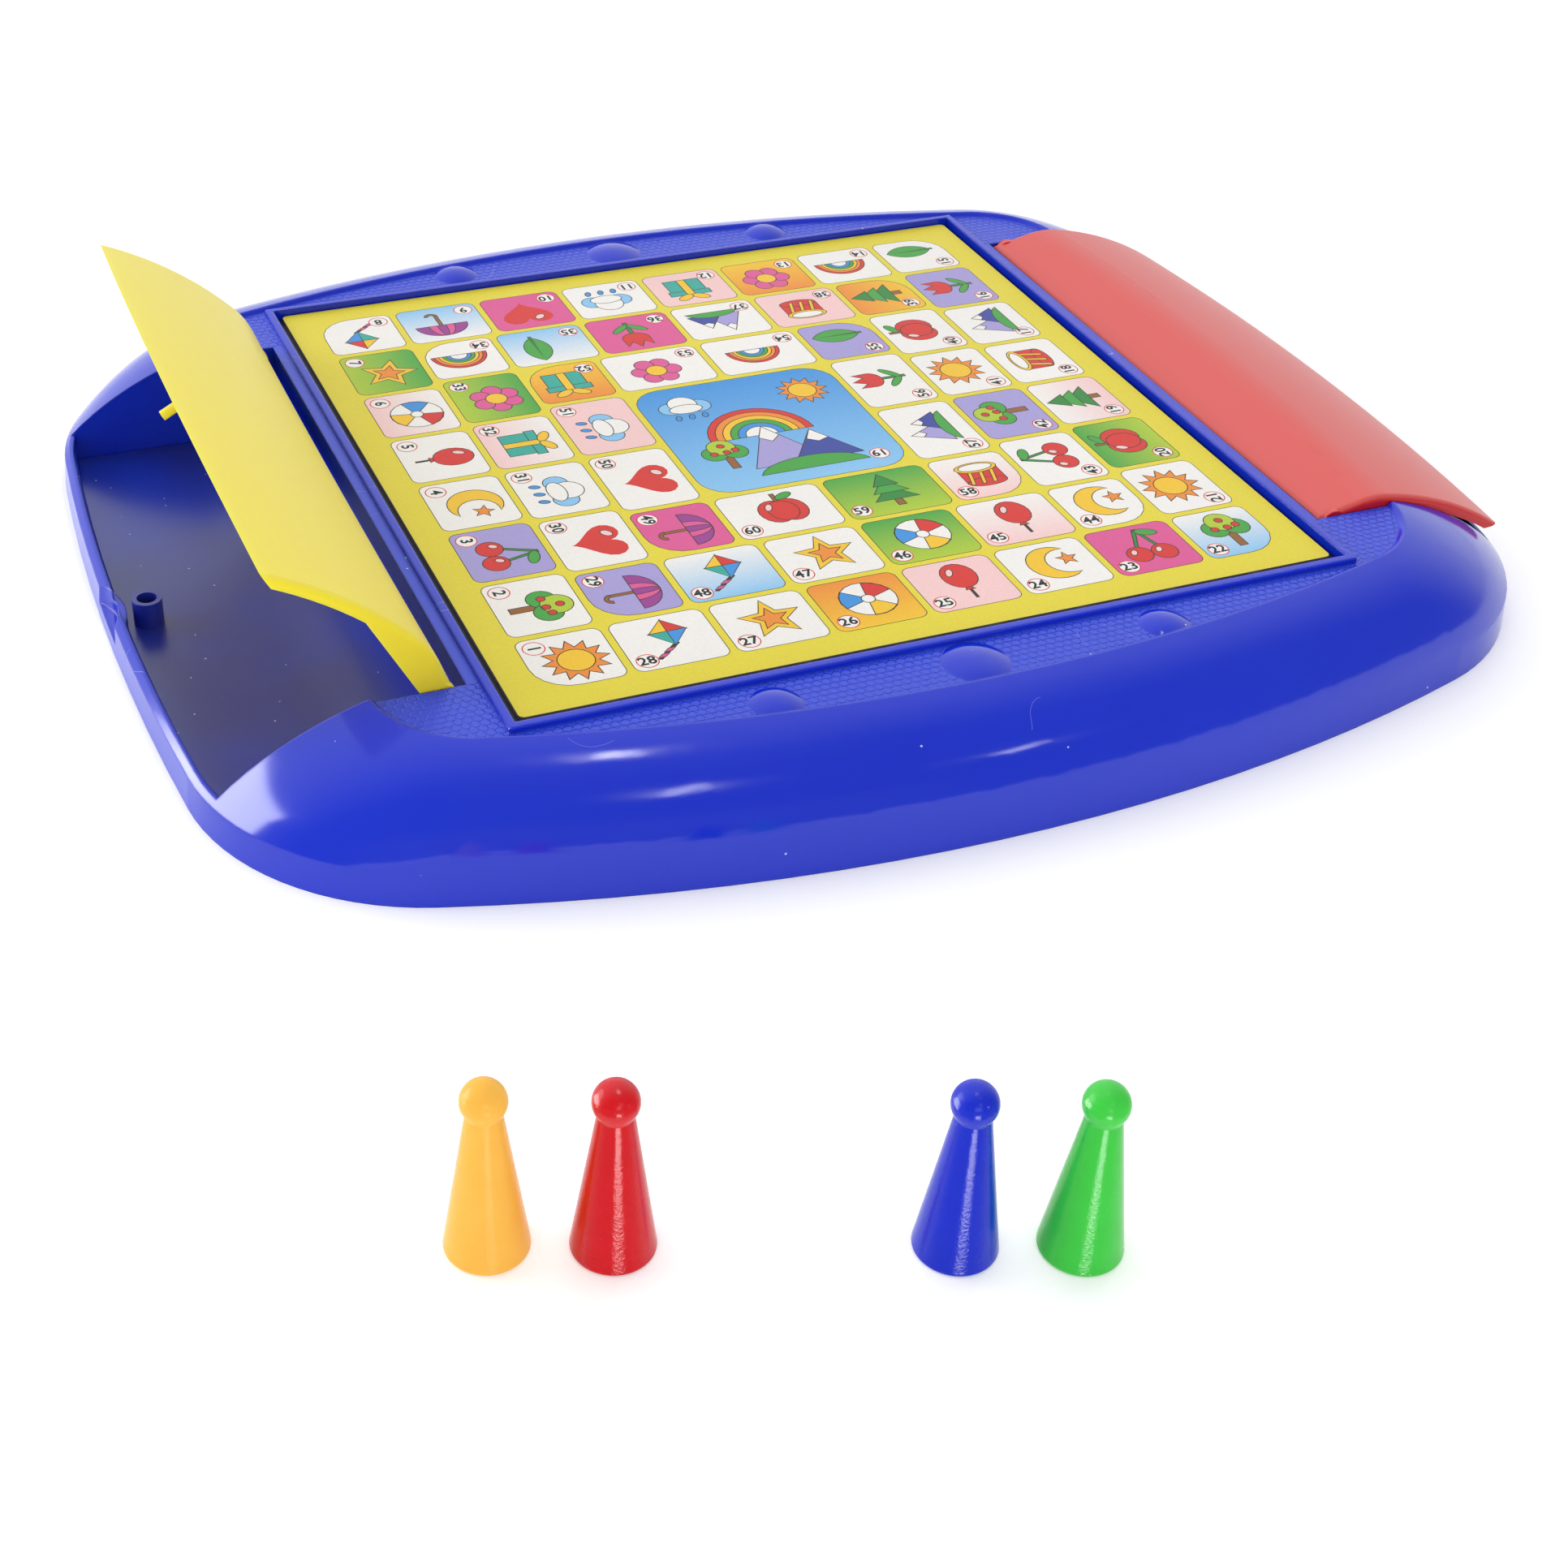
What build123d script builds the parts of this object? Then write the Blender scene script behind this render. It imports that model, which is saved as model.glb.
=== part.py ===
from build123d import *
import math
import os

# Board game case: a moulded top and bottom, two hinged lids, two cards, four pawns, two dice.
# Millimetres. Origin at the centre of the underside, X towards the red lid, Y to the back, Z up.

# Barrel plan of the case at the table
side_margin = 40.3
end_arc_radius = 880
side_arc_radius = 473
corner_radius = 63

# Skirt, dome and deck
skirt_height = 9
skirt_draft = 0.8
skirt_wall = 2.2
deck_height = 28.8
deck_wall = 2
ridge_height = 1.2
ridge_width = 1.4
crest_end_inset = 40.5
crest_side_inset = 23.2
crest_corner_radius = 27
crest_slope = 15
ridge_round = 0.7
dome_steps = 8

# Cards and the recess that holds them
card_thickness = 1.2
game_card_side = 220
draughts_card_margin = 1.6
card_clearance = 0.4
card_sink = 0.3
card_shift_x = 0.3
card_shift_y = 1.4
card_corner_radius = 1.5

# Rim round the recess and the button domes beside it
rim_width = 2.2
rim_height = 1.5
rim_round = 0.5
button_row_share = 0.55
button_pitch = 52
small_button_diameter = 13
large_button_diameter = 17
button_rise = 1.8

# Storage compartments
hinge_strip = 3
opening_length = 184
compartment_width = 65.4
end_wall = 3.4
end_wall_top = 10.4
partition_wall = 2.4
scoop_width = 23
scoop_depth = 3.8
scoop_wall = 1.8
scoop_top = 8
post_inset = 11.2
post_diameter = 7.8
post_bore = 5.2
post_top = 9.7

# Lids
lid_wall = 2.2
lid_side_clearance = 0.4
lid_hinge_clearance = 1.2
lid_seat_clearance = 0.3
lid_edge_round = 1.6
lid_crest_radius = 24
lid_hinge_slope = 8
lid_skirt_depth = 3.4
lid_skirt_drop = 6.2
lid_skirt_wall = 2
hinge_depth = 2.7
hinge_setback = 5.8
ear_radius = 3.7
hinge_pin_diameter = 3
hinge_pin_length = 2.2
hinge_pin_clearance = 0.08
catch_diameter = 2.6
catch_depth = 4.6
catch_lean = 1
yellow_open_angle = 61.5
red_open_angle = 4.5

# Bottom and its screws
plate_wall = 2.4
plate_clearance = 0.3
screw_diameter = 2.9
screw_length = 11
screw_head_diameter = 5.6
screw_head_depth = 1.5
screw_slot_length = 3.7
screw_slot_width = 0.9
screw_slot_depth = 0.6
screw_clearance = 0.1
boss_diameter = 7.5
boss_inset_x = 19
boss_inset_y = 16

# Pawns, in the places where they stand
pawn_diameter = 17
pawn_height = 42
pawn_head_diameter = 9.1
pawn_neck_diameter = 7
pawn_neck_round = 0.7
pawn_foot_round = 0.7
pawn_recess_diameter = 11
pawn_recess_depth = 1.2
pawn_near_gap = 78.0
yellow_pawn_x = -158.6
red_pawn_x = -136.1
blue_pawn_x = -74.8
green_pawn_x = -52.2
pawn_row_slope_share = -0.370

# Dice
die_side = 14
die_round = 2
pip_diameter = 2.6
pip_depth = 0.6
pip_pitch = 3.6
die_1_place_shares = (0.255, 0.725)
die_1_turn = 18
die_2_place_shares = (0.575, 0.495)
die_2_turn = -27

# Room past a face that a cut runs through, and depth to which a joined piece is rooted
overrun = 1

# Worked-out places
crest_height = deck_height + ridge_height
dome_height = crest_height - skirt_height
dome_end_run = crest_end_inset - skirt_draft
draughts_card_side = game_card_side + 2 * draughts_card_margin
recess_side = draughts_card_side + 2 * card_clearance
card_top = deck_height - card_sink
recess_floor = card_top - 2 * card_thickness
rim_side = recess_side + 2 * rim_width
case_width = rim_side + 2 * side_margin
opening_inner = rim_side / 2 + hinge_strip
opening_half = opening_length / 2
case_length = 2 * (opening_inner + compartment_width + end_wall)
deck_strip = side_margin - crest_side_inset - ridge_width
button_row_y = rim_side / 2 + deck_strip * button_row_share
hinge_x = opening_inner + hinge_setback
hinge_z = deck_height - hinge_depth
post_x = case_length / 2 - post_inset
pan_side = recess_side + 2 * deck_wall
pan_underside = recess_floor - deck_wall


def block(x_range, y_range, z_range):
    """A box between two values along each axis."""
    sizes = [high - low for low, high in (x_range, y_range, z_range)]
    middles = [(high + low) / 2 for low, high in (x_range, y_range, z_range)]
    return Pos(*middles) * Box(*sizes)


def upright(diameter, x, y, bottom, top):
    """A cylinder that stands along Z."""
    return Pos(x, y, (bottom + top) / 2) * Cylinder(diameter / 2, top - bottom)


def outline(end_inset, side_inset, corner, height):
    """The barrel plan at one height: two end arcs, two side arcs and four corner arcs."""
    end = case_length / 2 - end_inset
    side = case_width / 2 - side_inset
    end_radius = end_arc_radius - end_inset
    side_radius = side_arc_radius - side_inset
    end_centre = Vector(end - end_radius, 0)
    side_centre = Vector(0, side - side_radius)

    # The corner arc's centre lies where the two arcs, drawn in by the corner radius, meet
    end_reach = end_radius - corner
    side_reach = side_radius - corner
    span = side_centre - end_centre
    along = (end_reach**2 - side_reach**2 + span.length**2) / (2 * span.length)
    across = math.sqrt(end_reach**2 - along**2)
    step = span.normalized()
    centre = end_centre + step * along + Vector(-step.Y, step.X) * across
    end_normal = (centre - end_centre).normalized()
    side_normal = (centre - side_centre).normalized()
    end_tangent = centre + end_normal * corner
    side_tangent = centre + side_normal * corner
    corner_middle = centre + (end_normal + side_normal).normalized() * corner

    def at(point, x_sign, y_sign):
        return (point.X * x_sign, point.Y * y_sign, height)

    def quadrant_corner(first, last, x_sign, y_sign):
        middle = at(corner_middle, x_sign, y_sign)
        return ThreePointArc(at(first, x_sign, y_sign), middle, at(last, x_sign, y_sign))

    edges = [
        ThreePointArc(at(end_tangent, 1, -1), (end, 0, height), at(end_tangent, 1, 1)),
        quadrant_corner(end_tangent, side_tangent, 1, 1),
        ThreePointArc(at(side_tangent, 1, 1), (0, side, height), at(side_tangent, -1, 1)),
        quadrant_corner(side_tangent, end_tangent, -1, 1),
        ThreePointArc(at(end_tangent, -1, 1), (-end, 0, height), at(end_tangent, -1, -1)),
        quadrant_corner(end_tangent, side_tangent, -1, -1),
        ThreePointArc(at(side_tangent, -1, -1), (0, -side, height), at(side_tangent, 1, -1)),
        quadrant_corner(side_tangent, end_tangent, 1, -1),
    ]
    return Wire(edges)


def prism(inset, bottom, top):
    """The barrel plan, drawn in by an inset, as an upright prism."""
    return extrude(Face(outline(inset, inset, corner_radius - inset, bottom)), top - bottom, dir=(0, 0, 1))


def end_arc():
    """Radius of the dome's end profile, from the crest's slope and the run and height of the dome."""
    chord = math.hypot(dome_end_run, dome_height)
    chord_slope = math.atan2(dome_height, dome_end_run)
    return chord / (2 * math.sin(chord_slope - math.radians(crest_slope)))


def end_run(drop):
    """How far out from the crest the end profile lies when it has come down by a drop."""
    radius = end_arc()
    start = math.radians(crest_slope)
    slope = math.acos(math.cos(start) - drop / radius)
    return radius * (math.sin(slope) - math.sin(start))


def dome_level(share):
    """Drop below the crest and shares of the end and side insets, from the skirt (0) to the crest (1)."""
    start = math.radians(crest_slope)
    slope = start + (math.pi / 2 - start) * (1 - share)
    drop = dome_height * (math.cos(start) - math.cos(slope)) / math.cos(start)
    side_run_share = (math.sin(slope) - math.sin(start)) / (1 - math.sin(start))
    return drop, 1 - end_run(drop) / dome_end_run, 1 - side_run_share


def case_form(wall, roof, foot):
    """Skirt and dome as one solid, drawn in by a wall and let down by a roof thickness."""
    skirt_top = skirt_height - roof
    skirt_inset = wall + skirt_draft
    skirt = Solid.make_loft(
        [
            outline(wall, wall, corner_radius - wall, foot),
            outline(skirt_inset, skirt_inset, corner_radius - skirt_inset, skirt_top),
        ],
        ruled=True,
    )
    levels = []
    for step in range(dome_steps + 1):
        drop, end_share, side_share = dome_level(step / dome_steps)
        corner_share = (end_share + side_share) / 2
        corner_drop = (corner_radius - skirt_draft - crest_corner_radius) * corner_share
        levels.append(
            outline(
                skirt_inset + dome_end_run * end_share,
                skirt_inset + (crest_side_inset - skirt_draft) * side_share,
                corner_radius - skirt_inset - corner_drop,
                crest_height - roof - drop,
            )
        )
    return skirt + Solid.make_loft(levels)


def crest_prism(bottom, top):
    """The plan inside the dome's crest as an upright prism."""
    face = Face(outline(crest_end_inset, crest_side_inset, crest_corner_radius, bottom))
    return extrude(face, top - bottom, dir=(0, 0, 1))


def deck_pocket():
    """The shallow hollow that sets the deck below the crest, with sloping sides."""
    foot = outline(
        crest_end_inset + ridge_width,
        crest_side_inset + ridge_width,
        crest_corner_radius - ridge_width,
        deck_height,
    )
    brow = outline(crest_end_inset, crest_side_inset, crest_corner_radius, crest_height)
    return Solid.make_loft([foot, brow], ruled=True)


def compartment_prism(inner, half_length, outer_inset, bottom, top):
    """The plan of the right-hand compartment between its hinge edge and its end wall."""
    return prism(outer_inset, bottom, top) & block(
        (inner, case_length), (-half_length, half_length), (bottom, top)
    )


def both_sides(shape):
    """A shape at the right-hand end together with its mirror image at the left."""
    return [shape, mirror(shape, Plane.YZ)]


def partitions():
    """Walls that hang from the deck round the right-hand compartment."""
    walls_z = (plate_wall, crest_height)
    walls = [
        block(
            (opening_inner - partition_wall, opening_inner),
            (-opening_half - partition_wall, opening_half + partition_wall),
            walls_z,
        )
    ]
    for side in (-1, 1):
        near, far = sorted((side * opening_half, side * (opening_half + partition_wall)))
        walls.append(block((opening_inner - partition_wall, case_length / 2), (near, far), walls_z))
    return walls


def boss_places():
    """Screw places under the pan: its corners and the middles of its sides."""
    x_out = pan_side / 2 - boss_inset_x
    y_out = pan_side / 2 - boss_inset_y
    return [(x, y) for x in (-x_out, 0, x_out) for y in (-y_out, 0, y_out) if x or y]


def scoop_cylinder(extra, bottom, top):
    """The finger scoop in the right-hand end wall, wider by an extra wall."""
    radius = (scoop_width**2 / 4 + scoop_depth**2) / (2 * scoop_depth)
    centre_x = case_length / 2 - scoop_depth + radius
    return upright(2 * (radius + extra), centre_x, 0, bottom, top)


def button(diameter, x, y):
    """A low dome moulded on the deck."""
    radius = (diameter**2 / 4 + button_rise**2) / (2 * button_rise)
    ball = Pos(x, y, deck_height + button_rise - radius) * Sphere(radius)
    x_range = (x - diameter, x + diameter)
    y_range = (y - diameter, y + diameter)
    return ball & block(x_range, y_range, (deck_height, deck_height + button_rise + overrun))


def rim():
    """Raised frame round the card recess."""
    height = (deck_height, deck_height + rim_height)
    outer = block((-rim_side / 2, rim_side / 2), (-rim_side / 2, rim_side / 2), height)
    outer = fillet(outer.edges().group_by(Axis.Z)[-1] + outer.edges().filter_by(Axis.Z), rim_round)
    return outer - block((-recess_side / 2, recess_side / 2), (-recess_side / 2, recess_side / 2), height)


def top_case(form):
    """Upper shell: dome, skirt, deck, recess pan, compartment walls and screw bosses."""
    deck_top = crest_height + overrun
    hollow = case_form(skirt_wall, deck_wall, -overrun)
    kept = [crest_prism(deck_height - deck_wall, deck_top)]
    pan = (-pan_side / 2, pan_side / 2)
    kept.append(block(pan, pan, (pan_underside, deck_top)))
    for wall in partitions():
        kept.extend(both_sides(wall))
    kept.extend(upright(boss_diameter, x, y, plate_wall, deck_height) for x, y in boss_places())
    kept.extend(both_sides(scoop_cylinder(scoop_wall, plate_wall, scoop_top)))
    hollow = hollow - kept

    shell = form - deck_pocket()
    ridge = [edge for edge in shell.edges() if edge.center().Z > crest_height - ridge_round / 2]
    shell = fillet(ridge, ridge_round)
    shell = shell - hollow
    recess = (-recess_side / 2, recess_side / 2)
    cuts = [block(recess, recess, (recess_floor, deck_top))]
    opening = compartment_prism(opening_inner, opening_half, end_wall, scoop_top, deck_top)
    cuts.extend(both_sides(opening))
    lid_room = block((opening_inner, case_length), (-opening_half, opening_half), (end_wall_top, deck_top))
    cuts.extend(both_sides(lid_room))
    cuts.extend(both_sides(scoop_cylinder(0, plate_wall + scoop_wall, deck_top)))
    bore = screw_diameter + 2 * screw_clearance
    cuts.extend(upright(bore, x, y, plate_wall, plate_wall + screw_length) for x, y in boss_places())
    pin_room = hinge_pin_diameter + 2 * hinge_pin_clearance
    reach = opening_length + 2 * partition_wall
    hinge_bore = Pos(hinge_x, 0, hinge_z) * Rot(90, 0, 0) * Cylinder(pin_room / 2, reach)
    cuts.extend(both_sides(hinge_bore))
    shell = shell - cuts

    buttons = []
    for y_sign in (-1, 1):
        buttons.append(button(large_button_diameter, 0, y_sign * button_row_y))
        for x_sign in (-1, 1):
            buttons.append(button(small_button_diameter, x_sign * button_pitch, y_sign * button_row_y))
    return shell + rim() + buttons


def screw_body(extra, length):
    """Countersunk screw with its head at the underside, or its hole, wider by an extra room."""
    head_radius = screw_head_diameter / 2 + extra
    shank_radius = screw_diameter / 2 + extra
    head = Pos(0, 0, screw_head_depth / 2) * Cone(head_radius, shank_radius, screw_head_depth)
    return head + upright(2 * shank_radius, 0, 0, 0, length)


def screw():
    """One screw with a cross slot."""
    slot = Pos(0, 0, screw_slot_depth / 2) * Box(screw_slot_length, screw_slot_width, screw_slot_depth)
    return screw_body(0, screw_length) - [slot, Rot(0, 0, 90) * slot]


def bottom_case():
    """Floor plate inside the skirt, with the two catch posts."""
    inset = skirt_wall + skirt_draft * plate_wall / skirt_height + plate_clearance
    plate = prism(inset, 0, plate_wall)
    for x_sign in (-1, 1):
        post = upright(post_diameter, x_sign * post_x, 0, 0, post_top)
        plate = plate + post - upright(post_bore, x_sign * post_x, 0, plate_wall, post_top)
    hole = screw_body(screw_clearance, plate_wall + overrun)
    return plate - [Pos(x, y, 0) * hole for x, y in boss_places()]


def lid_border(blank, inner, half, seat):
    """Top edges of a lid blank along its hinge and its two ends."""
    border = []
    for edge in blank.edges():
        middle = edge.center()
        along_hinge = abs(middle.X - inner) < overrun and abs(middle.Y) < overrun and middle.Z > hinge_z
        at_end = half - abs(middle.Y) < overrun and middle.X > inner + overrun and middle.Z > seat + overrun
        if along_hinge or at_end:
            border.append(edge)
    return border


def lid_form():
    """The curved end that a lid belongs to: a rise, a crest and the dome, turned about the end arc's axis."""
    start = math.radians(crest_slope)
    rise = math.radians(lid_hinge_slope)
    dome_x = case_length / 2 - crest_end_inset
    dome_start = (dome_x, crest_height)
    crest_foot = (
        dome_x - lid_crest_radius * (math.sin(start) + math.sin(rise)),
        crest_height + lid_crest_radius * (math.cos(rise) - math.cos(start)),
    )
    crest_top = (
        dome_x - lid_crest_radius * math.sin(start),
        crest_height + lid_crest_radius * (1 - math.cos(start)),
    )
    middle_drop = dome_height / 2
    dome_middle = (dome_x + end_run(middle_drop), crest_height - middle_drop)
    dome_foot = (dome_x + dome_end_run, skirt_height)
    inner_x = opening_inner - overrun
    inner_z = crest_foot[1] - (crest_foot[0] - inner_x) * math.tan(rise)
    profile = Wire(
        [
            Line((inner_x, 0), (inner_x, inner_z)),
            Line((inner_x, inner_z), crest_foot),
            ThreePointArc(crest_foot, crest_top, dome_start),
            ThreePointArc(dome_start, dome_middle, dome_foot),
            Line(dome_foot, (dome_foot[0], 0)),
            Line((dome_foot[0], 0), (inner_x, 0)),
        ]
    )
    axis_x = case_length / 2 - end_arc_radius
    half_turn = math.degrees(math.asin((opening_half + overrun) / (inner_x - axis_x)))
    section = Rot(90, 0, 0) * Face(profile)
    section = section.rotate(Axis((axis_x, 0, 0), (0, 0, 1)), -half_turn)
    return revolve(section, Axis((axis_x, 0, 0), (0, 0, 1)), 2 * half_turn)


def closed_lid():
    """The right-hand lid, shut: a curved sheet with end skirts, hinge ears and pins, and a catch stub."""
    half = opening_half - lid_side_clearance
    inner = opening_inner + lid_hinge_clearance
    form = lid_form()
    top = crest_height + lid_crest_radius
    seat = end_wall_top + lid_seat_clearance
    blank = form & block((inner, case_length), (-half, half), (seat, top))
    blank = fillet(lid_border(blank, inner, half, seat), lid_edge_round)
    lid = blank - Pos(0, 0, -lid_wall) * form
    lowered = Pos(0, 0, -lid_skirt_depth) * form
    skirt_foot = deck_height - lid_skirt_drop
    for side in (-1, 1):
        slab_y = sorted((side * half, side * (half - lid_skirt_wall)))
        slab = blank & block((inner, case_length), slab_y, (0, top))
        lid = lid + (slab - lowered)
        lid = lid + (slab & block((inner, case_length), slab_y, (skirt_foot, top)))
        ear = Pos(hinge_x, sum(slab_y) / 2, hinge_z) * Rot(90, 0, 0)
        lid = lid + ear * Cylinder(ear_radius, lid_skirt_wall)
        pin = Pos(hinge_x, side * (half + hinge_pin_length / 2), hinge_z) * Rot(90, 0, 0)
        lid = lid + pin * Cylinder(hinge_pin_diameter / 2, hinge_pin_length)
    stub = upright(catch_diameter, post_x - catch_lean, 0, post_top - catch_depth, crest_height)
    return lid + (stub & (Pos(0, 0, -lid_wall / 2) * form))


def card(side, bottom):
    """A flat square card with slightly rounded corners."""
    return Pos(0, 0, bottom) * extrude(RectangleRounded(side, side, card_corner_radius), card_thickness)


def pawn():
    """A cone with a round head, rounded at the foot and the neck."""
    head_radius = pawn_head_diameter / 2
    neck_radius = pawn_neck_diameter / 2
    head_z = pawn_height - head_radius
    neck_z = head_z - math.sqrt(head_radius**2 - neck_radius**2)
    body = Pos(0, 0, neck_z / 2) * Cone(pawn_diameter / 2, neck_radius, neck_z)
    body = fillet(body.edges().group_by(Axis.Z)[0], pawn_foot_round)
    body = body + Pos(0, 0, head_z) * Sphere(head_radius)
    neck = [edge for edge in body.edges() if abs(edge.center().Z - neck_z) < pawn_neck_round / 2]
    body = fillet(neck, pawn_neck_round)
    return body - upright(pawn_recess_diameter, 0, 0, 0, pawn_recess_depth)


# Pips of each number, in steps of the pip pitch
pip_pattern_shares = {
    1: [(0, 0)],
    2: [(-1, -1), (1, 1)],
    3: [(-1, -1), (0, 0), (1, 1)],
    4: [(-1, -1), (-1, 1), (1, -1), (1, 1)],
    5: [(-1, -1), (-1, 1), (0, 0), (1, -1), (1, 1)],
    6: [(-1, -1), (-1, 0), (-1, 1), (1, -1), (1, 0), (1, 1)],
}


def die():
    """A rounded cube with dimpled pips, opposite faces adding up to seven."""
    cube = fillet(Box(die_side, die_side, die_side).edges(), die_round)
    pip_radius = (pip_diameter**2 / 4 + pip_depth**2) / (2 * pip_depth)
    ball_height = die_side / 2 - pip_depth + pip_radius
    turns = {1: (0, 0, 0), 6: (180, 0, 0), 2: (90, 0, 0), 5: (-90, 0, 0), 3: (0, 90, 0), 4: (0, -90, 0)}
    pips = []
    for number, turn in turns.items():
        for x_step, y_step in pip_pattern_shares[number]:
            ball = Pos(x_step * pip_pitch, y_step * pip_pitch, ball_height) * Sphere(pip_radius)
            pips.append(Rot(*turn) * ball)
    return cube - pips


def die_seat(place_shares, turn):
    """Where a die lies in the right-hand compartment, in shares of its width and half length."""
    x = opening_inner + compartment_width * place_shares[0]
    y = opening_half * place_shares[1]
    return Pos(x, y, plate_wall + die_side / 2) * Rot(0, 0, turn)


def main():
    form = case_form(0, 0, 0)
    right_lid = closed_lid()
    left_lid = mirror(right_lid, Plane.YZ)
    nodes = {
        "top_case": top_case(form),
        "bottom_case": bottom_case(),
        "case_screws": Compound([Pos(x, y, 0) * screw() for x, y in boss_places()]),
        "red_lid": right_lid.rotate(Axis((hinge_x, 0, hinge_z), (0, -1, 0)), red_open_angle),
        "yellow_lid": left_lid.rotate(Axis((-hinge_x, 0, hinge_z), (0, 1, 0)), yellow_open_angle),
        "draughts_card": card(draughts_card_side, recess_floor),
        "game_card": Pos(card_shift_x, card_shift_y, 0) * card(game_card_side, recess_floor + card_thickness),
    }
    pawn_places = {
        "yellow_pawn": yellow_pawn_x,
        "red_pawn": red_pawn_x,
        "blue_pawn": blue_pawn_x,
        "green_pawn": green_pawn_x,
    }
    for name, x in pawn_places.items():
        y = (x - yellow_pawn_x) * pawn_row_slope_share - case_width / 2 - pawn_near_gap
        nodes[name] = Pos(x, y, 0) * pawn()
    nodes["die_1"] = die_seat(die_1_place_shares, die_1_turn) * die()
    nodes["die_2"] = die_seat(die_2_place_shares, die_2_turn) * Rot(90, 0, 0) * die()

    os.makedirs("parts", exist_ok=True)
    for name, shape in nodes.items():
        export_step(shape, f"parts/{name}.step")
        print(name, len(shape.solids()), "solids", round(shape.volume), "mm3")


main()
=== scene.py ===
import math

import bmesh
import bpy
from mathutils import Matrix, Quaternion, Vector
from mathutils.geometry import delaunay_2d_cdt


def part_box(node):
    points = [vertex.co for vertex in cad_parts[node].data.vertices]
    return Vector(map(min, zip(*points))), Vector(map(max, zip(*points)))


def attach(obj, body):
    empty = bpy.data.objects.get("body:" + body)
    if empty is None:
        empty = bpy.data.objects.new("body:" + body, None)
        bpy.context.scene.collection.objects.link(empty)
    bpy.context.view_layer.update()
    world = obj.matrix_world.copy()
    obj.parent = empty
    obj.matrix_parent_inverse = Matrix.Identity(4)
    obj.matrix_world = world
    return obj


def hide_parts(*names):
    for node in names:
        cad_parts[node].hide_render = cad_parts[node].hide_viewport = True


# Looks of a board game in its plastic case, in metres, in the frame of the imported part.
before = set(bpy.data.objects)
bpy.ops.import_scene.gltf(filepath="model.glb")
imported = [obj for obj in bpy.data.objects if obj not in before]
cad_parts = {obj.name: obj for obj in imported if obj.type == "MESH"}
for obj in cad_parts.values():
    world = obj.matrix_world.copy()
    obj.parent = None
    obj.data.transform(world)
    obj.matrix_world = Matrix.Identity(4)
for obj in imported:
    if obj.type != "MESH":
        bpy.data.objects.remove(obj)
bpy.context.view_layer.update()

MM = 0.001
SCENE = bpy.context.scene

# Camera of the photograph
CAMERA_PLACE = (-0.2490, -0.5276, 0.3387)
CAMERA_LENS = 54.14
CAMERA_SENSOR = 36
CAMERA_ELEVATION = 36.55
CAMERA_AZIMUTH = 22.67
CAMERA_ROLL = 1.93
CAMERA_SHIFT = (0.0777, -0.0025)
CAMERA_NEAR = 10 * MM

# Studio: a pale floor, a bright back, a darker front and a window to the left
FLOOR_SIDE = 8
FLOOR_COLOUR = "fbfbfb"
FLOOR_PALE = "ffffff"
FLOOR_CLOUD = 300 * MM
FLOOR_ROUGHNESS = 0.9
FLOOR_GLOW = 0.2
WORLD_FRONT = 0.34
WORLD_BACK = 1.2
WORLD_TURN = (-0.2, 0.6)

# Lamps: place, target, width and height, watts, shape and roll
WINDOW = ((-1.1, 0.48, 0.47), (-0.17, -0.1, 0.47), (0.85, 0.6))
LAMPS = {
    "overhead_softbox": ((0.118, 0.05, 1.3), (0.086, -0.045, 0), (0.03, 0.16), 0.42, "ELLIPSE"),
    "front_softbox": ((0.07, -0.95, 1.39), (-0.08, -0.14, 0.02), (0.07, 0.25), 0.55, "ELLIPSE", -31),
    "right_softbox": ((0.67, -1.07, 1), (0, -0.15, 0.02), (0.06, 0.09), 0.25, "ELLIPSE"),
    "left_window": (*WINDOW, 17),
    "left_fill": (*WINDOW, 6.5),
    "top_fill": ((0, -0.2, 1.8), (0, 0, 0), (1, 1), 4.6),
    "low_fill": ((-0.35, -0.95, 0.26), (-0.1, -0.2, 0.02), (1.4, 0.5), 4),
    "pawn_softbox": ((-0.234, -0.928, 0.21), (-0.105, -0.24, 0.02), (0.28, 0.2), 1.9),
}


def colour(code):
    """Linear RGBA of an sRGB hex code."""
    channels = [int(code[i : i + 2], 16) / 255 for i in (0, 2, 4)]
    linear = [c / 12.92 if c <= 0.04045 else ((c + 0.055) / 1.055) ** 2.4 for c in channels]
    return (*linear, 1)


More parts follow.
